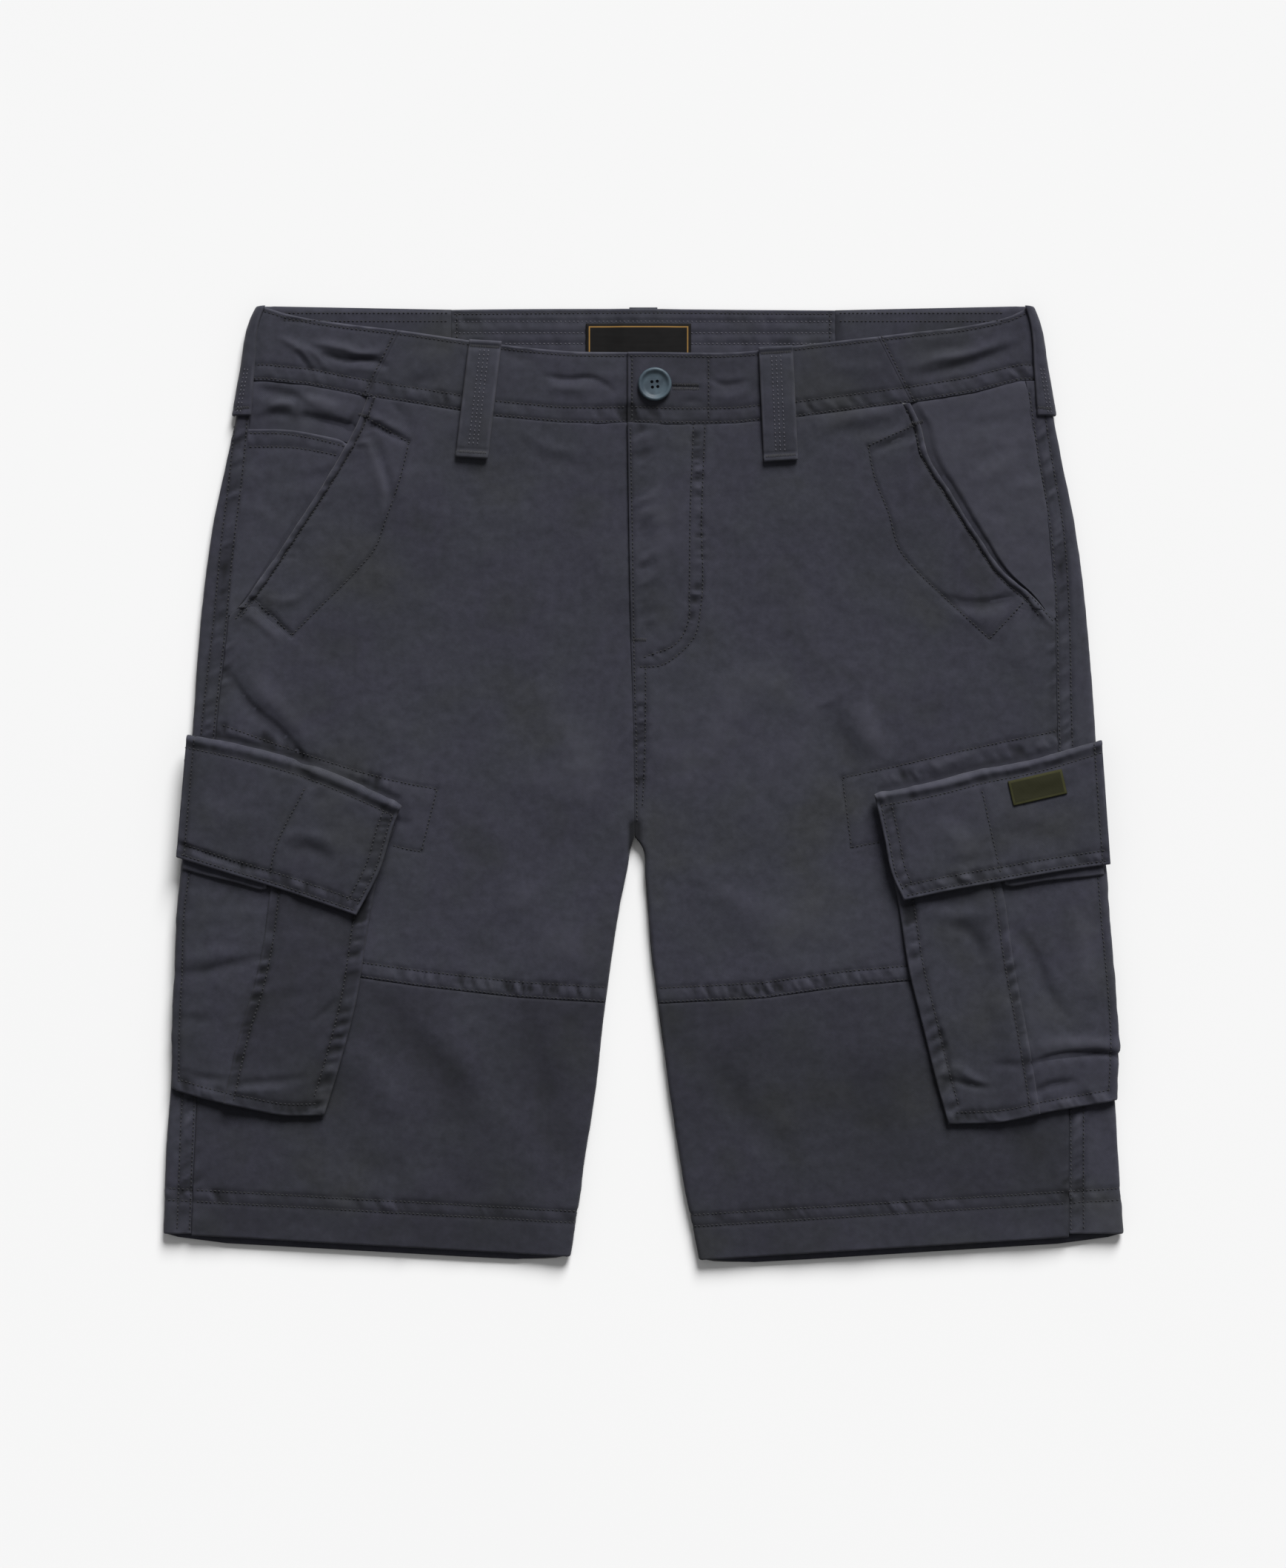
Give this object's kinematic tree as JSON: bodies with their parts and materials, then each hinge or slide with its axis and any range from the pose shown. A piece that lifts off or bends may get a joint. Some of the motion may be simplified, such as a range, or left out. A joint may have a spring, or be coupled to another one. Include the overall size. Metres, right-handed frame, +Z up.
{
  "type": "cargo shorts",
  "caption": "Cargo shorts in dark slate cotton twill, laid flat with the front up, with flapped thigh pockets, slanted hand pockets, belt loops and a buttoned waistband.",
  "frame": {"origin": "on the surface that the shorts lie on, under the middle of the garment", "axes": "+Z up from the surface, +Y towards the waistband, +X towards the wearer's left, which is the viewer's right"},
  "size_m": [0.545, 0.542, 0.0141],
  "materials": {
    "twill": "garment-dyed cotton twill, matt, softly worn at the seams",
    "button": "polished slate-blue resin with four holes",
    "waist_label": "black woven satin with a plain gold edge",
    "flap_label": "dark olive woven label with a plain edge",
    "zip": "woven zip tape"
  },
  "bodies": {
    "root": {"back_panel_right": "twill", "back_panel_left": "twill", "front_upper_right": "twill", "front_upper_left": "twill", "front_lower_right": "twill", "front_lower_left": "twill", "hip_facing_right": "twill", "hip_facing_left": "twill", "pocket_welt_right": "twill", "pocket_welt_left": "twill", "waistband_front_right": "twill", "waistband_front_left": "twill", "waistband_side_right": "twill", "waistband_side_left": "twill", "belt_loop_front_right": "twill", "belt_loop_front_left": "twill", "belt_loop_side_right": "twill", "belt_loop_side_left": "twill", "cargo_outer_right": "twill", "cargo_outer_left": "twill", "cargo_inner_right": "twill", "cargo_inner_left": "twill", "cargo_gusset_right": "twill", "cargo_gusset_left": "twill", "cargo_flap_right": "twill", "cargo_flap_left": "twill", "cargo_underflap_right": "twill", "cargo_underflap_left": "twill", "coin_pocket": "twill", "waistband_back": "twill", "fly_underlap": "twill", "fly_zip": "zip", "belt_loop_back": "twill", "button": "button", "waist_label": "waist_label", "flap_label": "flap_label"}
  },
  "joints": []
}
